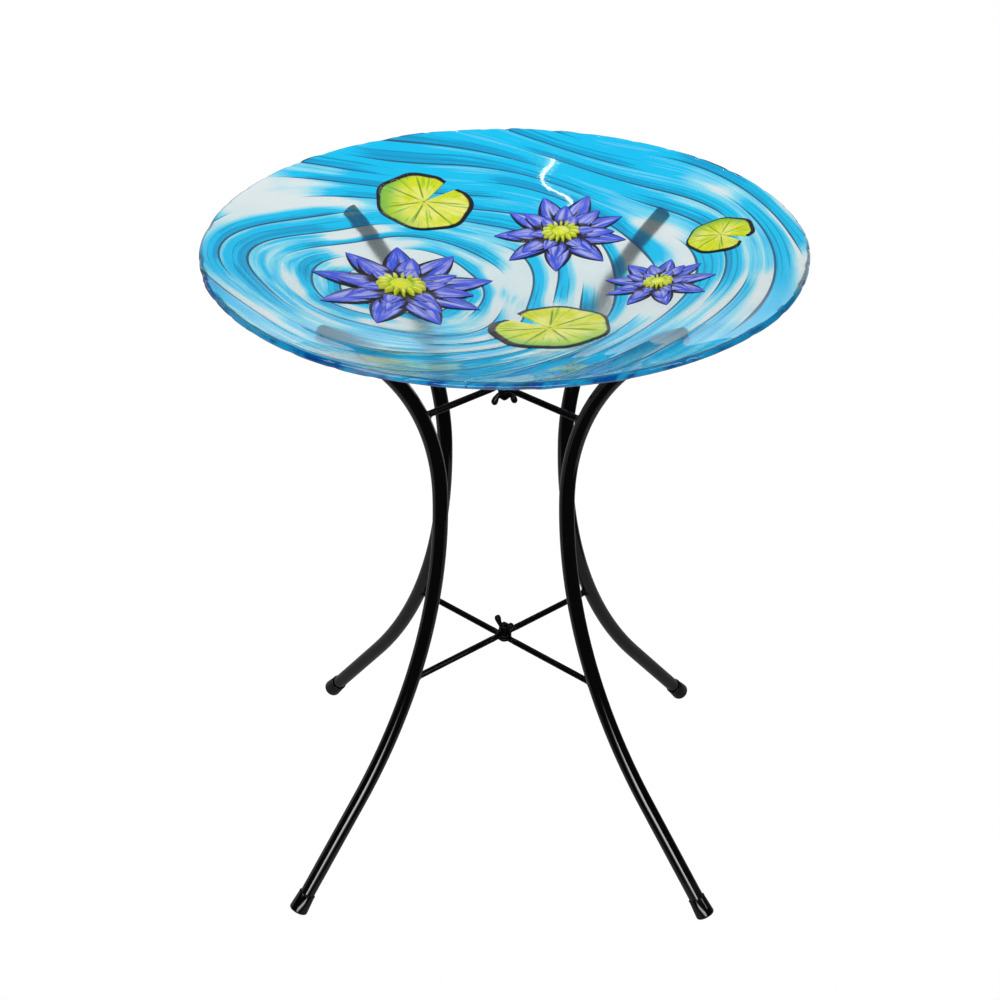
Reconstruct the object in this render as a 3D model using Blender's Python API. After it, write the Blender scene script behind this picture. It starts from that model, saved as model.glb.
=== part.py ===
"""Folding bird bath: a round glass bowl on two crossed leg frames.

Metres, +Z up. The origin lies on the floor, on the upright line through the two bolts.
Each frame is two opposite tube legs joined by an upper and a lower rod. Frame B turns
against frame A about the two bolts, and wing nuts clamp them. The bowl lies loose on
the leg ends.
"""
import math

import bmesh
import bpy
from mathutils import Matrix

# Glass bowl
BOWL_DIAMETER = 0.4572
BOWL_DEPTH = 0.045
GLASS_THICKNESS = 0.005

# Leg tubes. Each leg bends out both ways from a narrow waist, up to the bowl and down to the floor
TUBE_DIAMETER = 0.0127
TUBE_WALL = 0.0012
WAIST_RADIUS = 0.0667
BOWL_SEAT_INSET = 0.060
UPPER_BEND_ANGLE = math.radians(57.0)
UPPER_TAIL_LENGTH = 0.010
LOWER_BEND_RADIUS = 0.430
LOWER_BEND_ANGLE = math.radians(38.8)
FOOT_STRAIGHT_LENGTH = 0.1118
FRONT_OPENING_ANGLE = math.radians(99.0)

# Cross rods. Each is pressed flat at its middle, round a drilled eye. Depths are frame B's rods
ROD_DIAMETER = 0.0054
UPPER_ROD_BELOW_TOP = 0.0998
LOWER_ROD_BELOW_WAIST = 0.1718
EYE_WALL = 0.0037
EYE_THICKNESS = 0.003
STRAP_WIDTH = 0.0055
STRAP_LENGTH = 0.004
TAPER_LENGTH = 0.006

# Bolts, washers and wing nuts
BOLT_DIAMETER = 0.005
BOLT_HEAD_OVERHANG = 0.0023
BOLT_HEAD_HEIGHT = 0.003
BOLT_STICKOUT = 0.0016
BOLT_CHAMFER = 0.0006
WASHER_WIDTH = 0.0027
WASHER_THICKNESS = 0.001
NUT_BASE_WALL = 0.0021
NUT_TOP_WALL = 0.0015
NUT_HEIGHT = 0.0064
NUT_EDGE = 0.0007
WING_SPAN = 0.0212
WING_HEIGHT = 0.0118
WING_THICKNESS = 0.0024
WING_LOBE_RADIUS = 0.0026
WING_NECK_ANGLE = math.radians(140.0)
WING_TIP_ANGLE = math.radians(18.0)
UPPER_WING_ANGLE = math.radians(12.0)
LOWER_WING_ANGLE = math.radians(-45.0)

# Foot caps and tube plugs
CAP_LENGTH = 0.018
CAP_WALL = 0.0007
CAP_FLARE = 0.0009
CAP_BASE = 0.003
CAP_EDGE_RADIUS = 0.002
FOOT_FLAT_DEPTH = 0.0006
PLUG_HEAD_HEIGHT = 0.002
PLUG_EDGE_RADIUS = 0.0008
PLUG_STEM_LENGTH = 0.008

# Clearances
SEAT_GAP = 0.0003
HOLE_CLEARANCE = 0.0003
CAP_CLEARANCE = 0.0003
PLUG_CLEARANCE = 0.0004

# Colours and roughness
GLASS_BLUE = (0.10, 0.52, 0.72)
GLOSS_BLACK = (0.012, 0.012, 0.013)
SATIN_BLACK = (0.020, 0.020, 0.021)
GLASS_ROUGHNESS = 0.06
GLASS_CLEARNESS = 0.35
PAINT_ROUGHNESS = 0.28
FASTENER_ROUGHNESS = 0.38
PLASTIC_ROUGHNESS = 0.44

# Facets
BOWL_STEPS = 56
BOWL_RINGS = 9
RIM_RINGS = 5
TUBE_BEVEL_RESOLUTION = 4
BEND_STEPS = 11
ROD_SIDES = 12
EYE_RINGS = 3
SMALL_STEPS = 16
CORNER_STEPS = 3
CROWN_STEPS = 4
LOBE_STEPS = 5
ROUND_SQUARENESS = 2.0
PRESSED_SQUARENESS = 5.0
SMOOTH_ANGLE = math.radians(40.0)
MERGE_DISTANCE = 0.00001

TUBE_RADIUS = TUBE_DIAMETER / 2
BORE_RADIUS = TUBE_RADIUS - TUBE_WALL
ROD_RADIUS = ROD_DIAMETER / 2
ROD_STACK = EYE_THICKNESS + SEAT_GAP
BOLT_RADIUS = BOLT_DIAMETER / 2
HOLE_RADIUS = BOLT_RADIUS + HOLE_CLEARANCE
EYE_RADIUS = HOLE_RADIUS + EYE_WALL
CAP_BORE_RADIUS = TUBE_RADIUS + CAP_CLEARANCE
CAP_TOP_RADIUS = CAP_BORE_RADIUS + CAP_WALL
CAP_END_RADIUS = CAP_TOP_RADIUS + CAP_FLARE
FRAME_A_ANGLE = math.pi / 2 - FRONT_OPENING_ANGLE / 2
FRAME_B_ANGLE = -FRAME_A_ANGLE
DOWN = -math.pi / 2
UP = math.pi / 2


def clear_scene():
    """Remove every object that is already there."""
    for obj in list(bpy.data.objects):
        bpy.data.objects.remove(obj, do_unlink=True)


def make_material(name, colour, roughness, clearness=0.0):
    """A Principled material for one piece."""
    material = bpy.data.materials.new(name)
    material.use_nodes = True
    shader = material.node_tree.nodes["Principled BSDF"]
    shader.inputs["Base Color"].default_value = (*colour, 1.0)
    shader.inputs["Roughness"].default_value = roughness
    shader.inputs["Metallic"].default_value = 0.0
    shader.inputs["Transmission Weight"].default_value = clearness
    material.diffuse_color = (*colour, 1.0)
    return material


def gloss_paint(name):
    """Glossy black paint of the tubes and rods."""
    return make_material(name + "_paint", GLOSS_BLACK, PAINT_ROUGHNESS)


def fastener_black(name):
    """Blackened steel of the bolts, washers and wing nuts."""
    return make_material(name + "_black", SATIN_BLACK, FASTENER_ROUGHNESS)


def black_plastic(name):
    """Moulded plastic of the caps and plugs."""
    return make_material(name + "_plastic", SATIN_BLACK, PLASTIC_ROUGHNESS)


def add_object(name, data, material=None, parent=None):
    """Link a new object, with its material and parent."""
    obj = bpy.data.objects.new(name, data)
    bpy.context.scene.collection.objects.link(obj)
    if material is not None:
        data.materials.append(material)
    obj.parent = parent
    return obj


def mesh_from(bm, name):
    """Turn a bmesh into a smooth-shaded mesh with sharp edges kept."""
    bmesh.ops.recalc_face_normals(bm, faces=bm.faces)
    mesh = bpy.data.meshes.new(name)
    bm.to_mesh(mesh)
    bm.free()
    mesh.shade_smooth()
    mesh.set_sharp_from_angle(angle=SMOOTH_ANGLE)
    return mesh


def spun(profile, steps, closed=False):
    """A bmesh of an outline of (radius, height) points spun about Z."""
    bm = bmesh.new()
    points = [bm.verts.new((radius, 0.0, height)) for radius, height in profile]
    edges = [bm.edges.new(pair) for pair in zip(points, points[1:])]
    if closed:
        edges.append(bm.edges.new((points[-1], points[0])))
    bmesh.ops.spin(
        bm,
        geom=points + edges,
        cent=(0.0, 0.0, 0.0),
        axis=(0.0, 0.0, 1.0),
        dvec=(0.0, 0.0, 0.0),
        angle=2 * math.pi,
        steps=steps,
        use_merge=True,
    )
    bmesh.ops.remove_doubles(bm, verts=bm.verts, dist=MERGE_DISTANCE)
    return bm


def turned(name, profile, steps, material=None, parent=None, closed=False):
    """A turned piece, with its axis on the object's Z."""
    return add_object(name, mesh_from(spun(profile, steps, closed), name), material, parent)


def arc(centre, radius, start, end, steps):
    """Points of a circular arc, both ends included."""
    angles = [start + (end - start) * i / steps for i in range(steps + 1)]
    return [(centre[0] + radius * math.cos(a), centre[1] + radius * math.sin(a)) for a in angles]


# The line that each leg follows, as a radius from the bolts' line and a height

def upper_bend_radius():
    """Bend that brings the leg's top end under the bowl, its inset in from the rim."""
    reach = BOWL_DIAMETER / 2 - BOWL_SEAT_INSET - WAIST_RADIUS
    reach -= UPPER_TAIL_LENGTH * math.sin(UPPER_BEND_ANGLE)
    return reach / (1 - math.cos(UPPER_BEND_ANGLE))


def cap_end_height():
    """Height of the middle of a foot cap's end face when its lower edge reaches the floor."""
    edge_reach = (CAP_END_RADIUS - CAP_EDGE_RADIUS) * math.sin(LOWER_BEND_ANGLE)
    edge_round = CAP_EDGE_RADIUS * (1 - math.cos(LOWER_BEND_ANGLE))
    return edge_reach + edge_round - FOOT_FLAT_DEPTH


def waist_height():
    """Height of the leg's narrowest place."""
    foot = FOOT_STRAIGHT_LENGTH * math.cos(LOWER_BEND_ANGLE)
    return cap_end_height() + foot + LOWER_BEND_RADIUS * math.sin(LOWER_BEND_ANGLE)


def bend_point(bend_radius, angle, side):
    """Point of a bend at an angle from the waist, on its upper (1) or lower (-1) side."""
    return (
        WAIST_RADIUS + bend_radius * (1 - math.cos(angle)),
        waist_height() + side * bend_radius * math.sin(angle),
    )


def leg_top():
    """Middle of the tube's top end."""
    radius, height = bend_point(upper_bend_radius(), UPPER_BEND_ANGLE, 1)
    radius += UPPER_TAIL_LENGTH * math.sin(UPPER_BEND_ANGLE)
    return radius, height + UPPER_TAIL_LENGTH * math.cos(UPPER_BEND_ANGLE)


def foot_point(above_end):
    """Point of the straight foot, a distance above the middle of the cap's end face."""
    radius, height = bend_point(LOWER_BEND_RADIUS, LOWER_BEND_ANGLE, -1)
    along = FOOT_STRAIGHT_LENGTH - above_end
    return radius + along * math.sin(LOWER_BEND_ANGLE), height - along * math.cos(LOWER_BEND_ANGLE)


def leg_line():
    """Points of the tube's middle line, from the top end to the foot end inside the cap."""
    upper = [UPPER_BEND_ANGLE * i / BEND_STEPS for i in range(BEND_STEPS, 0, -1)]
    lower = [LOWER_BEND_ANGLE * i / BEND_STEPS for i in range(BEND_STEPS + 1)]
    line = [leg_top()]
    line += [bend_point(upper_bend_radius(), angle, 1) for angle in upper]
    line += [bend_point(LOWER_BEND_RADIUS, angle, -1) for angle in lower]
    line.append(foot_point(CAP_BASE + SEAT_GAP))
    return line


def leg_inner_face(height, across):
    """Radius of the tube's inner face at a height and a distance across its middle plane."""
    rise = height - waist_height()
    bend, limit = LOWER_BEND_RADIUS, LOWER_BEND_ANGLE
    if rise > 0:
        bend, limit = upper_bend_radius(), UPPER_BEND_ANGLE
    lean = math.asin(min(abs(rise) / bend, math.sin(limit)))
    straight = abs(rise) - bend * math.sin(lean)
    middle = WAIST_RADIUS + bend * (1 - math.cos(lean)) + straight * math.tan(lean)
    return middle - math.sqrt(TUBE_RADIUS ** 2 - across ** 2) / math.cos(lean)


def upper_rod_height():
    """Height of frame B's upper rod."""
    return leg_top()[1] - UPPER_ROD_BELOW_TOP


def lower_rod_height():
    """Height of frame B's lower rod."""
    return waist_height() - LOWER_ROD_BELOW_WAIST


# Bowl

def bowl_sphere():
    """Radius and edge angle of the glass's middle surface."""
    rise = BOWL_DEPTH - GLASS_THICKNESS
    reach = BOWL_DIAMETER / 2 - GLASS_THICKNESS / 2
    radius = (reach ** 2 + rise ** 2) / (2 * rise)
    return radius, math.asin(reach / radius)


def bowl_height():
    """Height of the bowl's lowest point when its underside lies on the plug heads."""
    end_radius, end_height = leg_top()
    under_radius = bowl_sphere()[0] + GLASS_THICKNESS / 2
    lean_in = math.cos(UPPER_BEND_ANGLE)
    lean_out = math.sin(UPPER_BEND_ANGLE)
    heights = []
    for reach, along in plug_outline():
        radius = end_radius + along * lean_out - reach * lean_in
        height = end_height + along * lean_in + reach * lean_out
        sag = under_radius - math.sqrt(under_radius ** 2 - radius ** 2)
        heights.append(height + SEAT_GAP - sag)
    return max(heights)


def make_bowl():
    """Shallow dish of even thickness, with a fully rounded edge."""
    sphere_radius, edge_angle = bowl_sphere()
    half = GLASS_THICKNESS / 2
    centre = (0.0, sphere_radius + half)
    edge = (
        sphere_radius * math.sin(edge_angle),
        centre[1] - sphere_radius * math.cos(edge_angle),
    )
    inside = arc(centre, sphere_radius - half, DOWN, DOWN + edge_angle, BOWL_RINGS)
    rim = arc(edge, half, UP + edge_angle, DOWN + edge_angle, RIM_RINGS)
    outside = arc(centre, sphere_radius + half, DOWN + edge_angle, DOWN, BOWL_RINGS)
    glass = make_material("painted_glass", GLASS_BLUE, GLASS_ROUGHNESS, GLASS_CLEARNESS)
    bowl = turned("glass_bowl", inside + rim[1:-1] + outside, BOWL_STEPS, glass)
    bowl.location.z = bowl_height()


# Legs, caps and plugs. Each lies in its frame's XZ plane and is turned to its side

def make_leg(name, turn, frame):
    """One bent tube, open at both ends."""
    curve = bpy.data.curves.new(name, "CURVE")
    curve.dimensions = "3D"
    curve.bevel_depth = TUBE_RADIUS
    curve.bevel_resolution = TUBE_BEVEL_RESOLUTION
    line = leg_line()
    spline = curve.splines.new("POLY")
    spline.points.add(len(line) - 1)
    for point, (radius, height) in zip(spline.points, line):
        point.co = (radius, 0.0, height, 1.0)
    leg = add_object(name, curve, gloss_paint(name), frame)
    leg.rotation_euler.z = turn
    wall = leg.modifiers.new("wall", "SOLIDIFY")
    wall.thickness = TUBE_WALL
    wall.offset = -1.0


def place_on_leg(obj, place, lean, turn):
    """Put a turned piece on a leg's line, leaning with the tube."""
    radius, height = place
    obj.location = (radius * math.cos(turn), radius * math.sin(turn), height)
    obj.rotation_euler = (0.0, lean, turn)


def make_cap(name, turn, frame, floor):
    """Flared cup over the foot end, with a small flat where it stands."""
    corner = (CAP_END_RADIUS - CAP_EDGE_RADIUS, CAP_EDGE_RADIUS)
    outline = [
        (0.0, CAP_BASE),
        (CAP_BORE_RADIUS, CAP_BASE),
        (CAP_BORE_RADIUS, CAP_LENGTH),
        (CAP_TOP_RADIUS, CAP_LENGTH),
    ]
    outline += arc(corner, CAP_EDGE_RADIUS, 0.0, DOWN, CORNER_STEPS)
    outline.append((0.0, 0.0))
    cap = turned(name, outline, SMALL_STEPS, black_plastic(name), frame)
    place_on_leg(cap, foot_point(0.0), -LOWER_BEND_ANGLE, turn)
    cut = cap.modifiers.new("foot_flat", "BOOLEAN")
    cut.operation = "DIFFERENCE"
    cut.object = floor


def plug_outline():
    """Plug outline from the middle of its head down to the end of its stem."""
    stem_radius = BORE_RADIUS - PLUG_CLEARANCE
    corner = (TUBE_RADIUS - PLUG_EDGE_RADIUS, PLUG_HEAD_HEIGHT - PLUG_EDGE_RADIUS)
    outline = [(0.0, PLUG_HEAD_HEIGHT)]
    outline += arc(corner, PLUG_EDGE_RADIUS, UP, 0.0, CORNER_STEPS)
    outline += [
        (TUBE_RADIUS, SEAT_GAP),
        (stem_radius, SEAT_GAP),
        (stem_radius, -PLUG_STEM_LENGTH),
        (0.0, -PLUG_STEM_LENGTH),
    ]
    return outline


def make_plug(name, turn, frame):
    """Mushroom plug in the top end of a leg tube."""
    plug = turned(name, plug_outline(), SMALL_STEPS, black_plastic(name), frame)
    place_on_leg(plug, leg_top(), UPPER_BEND_ANGLE, turn)


# Rods

def rod_stations():
    """Distances from the eye's middle where a rod's section changes, one side."""
    strap_start = math.sqrt(EYE_RADIUS ** 2 - (STRAP_WIDTH / 2) ** 2)
    eye_angle = math.asin(strap_start / EYE_RADIUS)
    stations = [EYE_RADIUS * math.sin(eye_angle * i / EYE_RINGS) for i in range(EYE_RINGS + 1)]
    stations.append(strap_start + STRAP_LENGTH)
    stations.append(strap_start + STRAP_LENGTH + TAPER_LENGTH)
    return stations


def rod_section(distance):
    """Half width, half thickness and squareness of a rod at a distance from its eye."""
    strap_end, round_start = rod_stations()[-2:]
    press = min(max((round_start - distance) / (round_start - strap_end), 0.0), 1.0)
    width = ROD_RADIUS + (STRAP_WIDTH / 2 - ROD_RADIUS) * press
    if distance < EYE_RADIUS:
        width = max(width, math.sqrt(EYE_RADIUS ** 2 - distance ** 2))
    thickness = ROD_RADIUS + (EYE_THICKNESS / 2 - ROD_RADIUS) * press
    squareness = ROUND_SQUARENESS + (PRESSED_SQUARENESS - ROUND_SQUARENESS) * press
    return width, thickness, squareness


def section_corners(distance):
    """Corners of a rod's section: a circle that squares off where it is pressed flat."""
    width, thickness, squareness = rod_section(distance)
    corners = []
    for side in range(ROD_SIDES):
        across = math.cos(2 * math.pi * side / ROD_SIDES)
        up = math.sin(2 * math.pi * side / ROD_SIDES)
        corners.append((
            width * math.copysign(abs(across) ** (2 / squareness), across),
            thickness * math.copysign(abs(up) ** (2 / squareness), up),
        ))
    return corners


def make_rod(name, height, frame, bolt_hole):
    """Cross rod from leg to leg, its ends shaped to the tubes and its eye drilled."""
    def weld_face(across, up):
        return leg_inner_face(height + up, across) - SEAT_GAP

    stations = rod_stations()
    round_section = section_corners(stations[-1])
    half = [[(place, *corner) for corner in section_corners(place)] for place in stations]
    half.append([(weld_face(*corner), *corner) for corner in round_section])
    other_half = [[(-x, y, z) for x, y, z in ring] for ring in reversed(half[1:])]
    bm = bmesh.new()
    rings = [[bm.verts.new(corner) for corner in ring] for ring in other_half + half]
    for first, second in zip(rings, rings[1:]):
        for i in range(ROD_SIDES):
            j = (i + 1) % ROD_SIDES
            bm.faces.new((first[i], first[j], second[j], second[i]))
    for ring, sign in ((rings[0], -1), (rings[-1], 1)):
        middle = bm.verts.new((sign * weld_face(0.0, 0.0), 0.0, 0.0))
        for i in range(ROD_SIDES):
            bm.faces.new((middle, ring[i], ring[(i + 1) % ROD_SIDES]))
    rod = add_object(name, mesh_from(bm, name), gloss_paint(name), frame)
    rod.location.z = height
    drill = rod.modifiers.new("bolt_hole", "BOOLEAN")
    drill.operation = "DIFFERENCE"
    drill.object = bolt_hole


def make_cutters():
    """The shapes that are cut away: the bolts' line and everything under the floor."""
    top = upper_rod_height() + BOWL_DEPTH
    bottom = lower_rod_height() - BOWL_DEPTH
    outline = [(0.0, top), (HOLE_RADIUS, top), (HOLE_RADIUS, bottom), (0.0, bottom)]
    hole = turned("bolt_hole_cutter", outline, SMALL_STEPS)
    reach = 2 * foot_point(0.0)[0]
    outline = [(0.0, 0.0), (reach, 0.0), (reach, -reach), (0.0, -reach)]
    floor = turned("floor_cutter", outline, SMALL_STEPS)
    for cutter in (hole, floor):
        cutter.hide_render = True
        cutter.display_type = "WIRE"
    return hole, floor


# Fasteners. Each stands with its seat at the object's origin and points along its own Z

def place_on_bolt_line(obj, seat, flip, angle=0.0):
    """Put a fastener on its seat, upside down where it points down."""
    obj.location.z = seat
    obj.rotation_euler = (math.pi if flip else 0.0, 0.0, angle)


def make_bolt(name, seat, flip, parent):
    """Round-headed bolt, its shank long enough to pass through the whole clamp."""
    shank = 2 * EYE_THICKNESS + WASHER_THICKNESS + NUT_HEIGHT + 4 * SEAT_GAP + BOLT_STICKOUT
    head_radius = BOLT_RADIUS + BOLT_HEAD_OVERHANG
    crown = (head_radius ** 2 + BOLT_HEAD_HEIGHT ** 2) / (2 * BOLT_HEAD_HEIGHT)
    crown_edge = UP - math.asin(head_radius / crown)
    outline = arc((0.0, BOLT_HEAD_HEIGHT - crown), crown, UP, crown_edge, CROWN_STEPS)
    outline += [
        (BOLT_RADIUS, 0.0),
        (BOLT_RADIUS, BOLT_CHAMFER - shank),
        (BOLT_RADIUS - BOLT_CHAMFER, -shank),
        (0.0, -shank),
    ]
    bolt = turned(name, outline, SMALL_STEPS, fastener_black(name), parent)
    place_on_bolt_line(bolt, seat, flip)


def make_washer(name, seat, flip, parent):
    """Plain flat washer."""
    outline = [
        (HOLE_RADIUS + WASHER_WIDTH, WASHER_THICKNESS),
        (HOLE_RADIUS + WASHER_WIDTH, 0.0),
        (HOLE_RADIUS, 0.0),
        (HOLE_RADIUS, WASHER_THICKNESS),
    ]
    washer = turned(name, outline, SMALL_STEPS, fastener_black(name), parent, closed=True)
    place_on_bolt_line(washer, seat, flip)


def wing_steps():
    """Distance out and lower and upper height of each step of a wing's round lobe."""
    middle_out = WING_SPAN / 2 - WING_LOBE_RADIUS
    middle_up = WING_HEIGHT - WING_LOBE_RADIUS
    angles = [
        WING_NECK_ANGLE + (WING_TIP_ANGLE - WING_NECK_ANGLE) * i / LOBE_STEPS
        for i in range(LOBE_STEPS + 1)
    ]
    steps = []
    for angle in angles:
        half_height = WING_LOBE_RADIUS * math.sin(angle)
        out = middle_out + WING_LOBE_RADIUS * math.cos(angle)
        steps.append((out, middle_up - half_height, middle_up + half_height))
    return steps


def hub_facet(bm, side):
    """The tall outer facet of a wing nut's hub that faces +X (1) or -X (-1)."""
    return max(bm.faces, key=lambda face: side * face.normal.x * face.calc_area())


def draw_wing(bm, face, side):
    """Pull a wing out of a facet of the hub."""
    for out, low, high in wing_steps():
        face = bmesh.ops.extrude_discrete_faces(bm, faces=[face])["faces"][0]
        middle = face.calc_center_median()
        for vert in face.verts:
            across = math.copysign(WING_THICKNESS / 2, vert.co.y)
            vert.co = (side * out, across, high if vert.co.z > middle.z else low)


def make_wing_nut(name, seat, flip, wing_angle):
    """Tapered hub with a bore, and two wings drawn out of its sides."""
    base_radius = HOLE_RADIUS + NUT_BASE_WALL
    top_radius = HOLE_RADIUS + NUT_TOP_WALL
    outline = [
        (top_radius - NUT_EDGE, NUT_HEIGHT),
        (top_radius, NUT_HEIGHT - NUT_EDGE),
        (base_radius, NUT_EDGE),
        (base_radius - NUT_EDGE, 0.0),
        (HOLE_RADIUS, 0.0),
        (HOLE_RADIUS, NUT_HEIGHT),
    ]
    bm = spun(outline, SMALL_STEPS, closed=True)
    half_facet = Matrix.Rotation(math.pi / SMALL_STEPS, 3, "Z")
    bmesh.ops.rotate(bm, verts=bm.verts, matrix=half_facet)
    bmesh.ops.recalc_face_normals(bm, faces=bm.faces)
    facets = [(hub_facet(bm, side), side) for side in (1, -1)]
    for facet, side in facets:
        draw_wing(bm, facet, side)
    nut = add_object(name, mesh_from(bm, name), fastener_black(name))
    place_on_bolt_line(nut, seat, flip, wing_angle)


def make_clamp(level, rod_height, nut_on_top, wing_angle, frame):
    """Bolt through a pair of rods, with a washer and a wing nut against its end."""
    over = rod_height + ROD_STACK + EYE_THICKNESS / 2 + SEAT_GAP
    under = rod_height - EYE_THICKNESS / 2 - SEAT_GAP
    head_seat, washer_seat, away = (under, over, 1) if nut_on_top else (over, under, -1)
    nut_seat = washer_seat + away * (WASHER_THICKNESS + SEAT_GAP)
    make_bolt(level + "_bolt", head_seat, nut_on_top, frame)
    make_washer(level + "_washer", washer_seat, not nut_on_top, frame)
    make_wing_nut(level + "_wing_nut", nut_seat, not nut_on_top, wing_angle)


def make_frame(letter, angle, sides, rod_lift, cutters):
    """One leg frame: two legs with caps and plugs, and the two rods between them."""
    bolt_hole, floor = cutters
    frame = add_object("frame_" + letter + "_axis", None)
    frame.rotation_euler.z = angle
    for side, turn in sides:
        make_leg("leg_" + side, turn, frame)
        make_cap("foot_cap_" + side, turn, frame, floor)
        make_plug("top_plug_" + side, turn, frame)
    make_rod("upper_rod_" + letter, upper_rod_height() + rod_lift, frame, bolt_hole)
    make_rod("lower_rod_" + letter, lower_rod_height() + rod_lift, frame, bolt_hole)
    return frame


def main():
    """Build the bird bath."""
    clear_scene()
    cutters = make_cutters()
    frame_a_sides = (("back_right", 0.0), ("front_left", math.pi))
    frame_b_sides = (("front_right", 0.0), ("back_left", math.pi))
    frame_a = make_frame("a", FRAME_A_ANGLE, frame_a_sides, ROD_STACK, cutters)
    make_frame("b", FRAME_B_ANGLE, frame_b_sides, 0.0, cutters)
    make_clamp("upper", upper_rod_height(), False, UPPER_WING_ANGLE, frame_a)
    make_clamp("lower", lower_rod_height(), True, LOWER_WING_ANGLE, frame_a)
    make_bowl()


main()
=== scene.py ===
"""Looks of the folding bird bath: painted relief glass on a gloss black folding stand.

Metres, +Z up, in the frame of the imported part. The bowl carries a lily pond design: ripples
spread over frosted glass from the largest of three water lilies. One set of formulas gives
both the paint and the relief of the ripples.
"""
from math import asin, cos, exp, pi, radians, sin, sqrt

import bmesh
import bpy
import numpy as np
from mathutils import Matrix, Vector


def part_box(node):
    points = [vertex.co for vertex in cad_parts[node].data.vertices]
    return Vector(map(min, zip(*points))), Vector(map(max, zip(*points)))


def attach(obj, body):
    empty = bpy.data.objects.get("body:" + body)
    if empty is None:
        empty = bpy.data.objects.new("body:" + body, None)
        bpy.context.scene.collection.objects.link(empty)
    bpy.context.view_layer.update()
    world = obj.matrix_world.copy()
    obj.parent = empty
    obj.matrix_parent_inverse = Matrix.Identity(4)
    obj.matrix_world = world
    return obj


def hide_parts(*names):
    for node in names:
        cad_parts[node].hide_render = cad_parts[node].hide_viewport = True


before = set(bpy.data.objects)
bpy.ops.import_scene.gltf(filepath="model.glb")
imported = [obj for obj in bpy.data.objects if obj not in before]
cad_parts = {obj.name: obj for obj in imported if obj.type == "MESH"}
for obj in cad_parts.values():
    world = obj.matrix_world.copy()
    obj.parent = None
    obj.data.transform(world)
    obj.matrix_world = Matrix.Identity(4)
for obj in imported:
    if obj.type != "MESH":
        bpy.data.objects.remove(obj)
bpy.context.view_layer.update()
bowl_low, bowl_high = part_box("glass_bowl")

UP = pi / 2
DOWN = -pi / 2

# Camera, fitted to the photograph
CAMERA_PLACE = (0.0157, -1.1784, 1.0975)
CAMERA_YAW, CAMERA_PITCH, CAMERA_ROLL = np.radians((-0.937, 33.041, -0.025))
CAMERA_LENS = 60.84
SENSOR_WIDTH = 36.0

# Meshes
SMOOTH_ANGLE = radians(40.0)
MERGE_DISTANCE = 0.000002
LEAST_RADIUS = 0.000001
TURN_STEPS = 56
EDGE_STEPS = 6

# Legs
TUBE_RADIUS = 0.00635
TUBE_WALL = 0.0012
WAIST_RADIUS = 0.0667
BOWL_SEAT_INSET = 0.060
UPPER_ANGLE = radians(57.0)
UPPER_TAIL = 0.010
LOWER_RADIUS = 0.430
LOWER_ANGLE = radians(38.8)
FOOT_LENGTH = 0.1118
LEG_SIDES = 48
BEND_STEPS = 40

# Which frame each leg belongs to, and its direction from the bolts' line
FRAME_ANGLE = radians(40.5)
SIDES = {
    "back_right": ("frame_a", FRAME_ANGLE),
    "front_left": ("frame_a", FRAME_ANGLE + pi),
    "front_right": ("frame_b", -FRAME_ANGLE),
    "back_left": ("frame_b", pi - FRAME_ANGLE),
}

# Rods
ROD_RADIUS = 0.0027
EYE_RADIUS = 0.0065
EYE_THICKNESS = 0.003
EYE_STEPS = 14
HOLE_RADIUS = 0.0028
STRAP_WIDTH = 0.0055
STRAP_LENGTH = 0.004
TAPER_LENGTH = 0.006
TAPER_STEPS = 9
ROD_SIDES = 32
ROUND_SQUARENESS = 2.0
PRESSED_SQUARENESS = 4.0

# Weld beads; each lump has its share of the size, its waves round the rod, and its shifts
WELD_SINK = 0.0004
BEAD_SIZE = 0.0017
BEAD_STEPS = 48
BEAD_HOLLOW = 0.85
BEAD_ROOT = 0.7 * ROD_RADIUS
BEAD_LUMPS = ((0.14, 5, 3, 0), (0.10, 9, -7, 90))

# Bolts and washers
BOLT_RADIUS = 0.0025
BOLT_SHANK = 0.0162
HEAD_RADIUS = 0.0048
HEAD_HEIGHT = 0.003
HEAD_EDGE = 0.0006
HEAD_CORNER = HEAD_EDGE / 3
HEAD_CORNER_STEPS = 4
HEAD_STEPS = 14
THREAD_PITCH = 0.0008
THREAD_DEPTH = 0.00036
THREAD_LENGTH = 0.0115
THREAD_START = BOLT_SHANK - THREAD_LENGTH
THREAD_CHAMFER = 0.0006
THREAD_STEPS = 8
WASHER_RADIUS = 0.0055
WASHER_THICKNESS = 0.001
WASHER_EDGE = 0.0002
WASHER_EDGE_STEPS = 3

# Wing nuts; the wings' places are distances out and up, and their sizes half widths and half depths
NUT_BASE_RADIUS = 0.0049
NUT_TOP_RADIUS = 0.0043
NUT_HEIGHT = 0.0064
NUT_EDGE = 0.0007
NUT_VOXEL = 0.00024
NUT_SOFTENING = 0.5
NUT_SOFT_ROUNDS = 6
WING_ROOT = np.array((0.0034, 0.0034))
WING_BEND = np.array((0.0064, 0.0040))
WING_LOBE = np.array((0.0080, 0.0092))
HUB_SIZE = np.array((0.0027, 0.0017))
NECK_SIZE = np.array((0.0021, 0.0018))
LOBE_SIZE = np.array((0.0027, 0.0026))
WING_ROOT_END = 0.45
WING_LOBE_START = 0.35
WING_SQUARENESS = 2.4
WING_STEPS = 16
WING_TIP_STEPS = 8
WING_TIP_ANGLE = 0.98 * UP
WING_ANGLES = {"upper": radians(12.0), "lower": radians(-45.0)}

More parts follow.
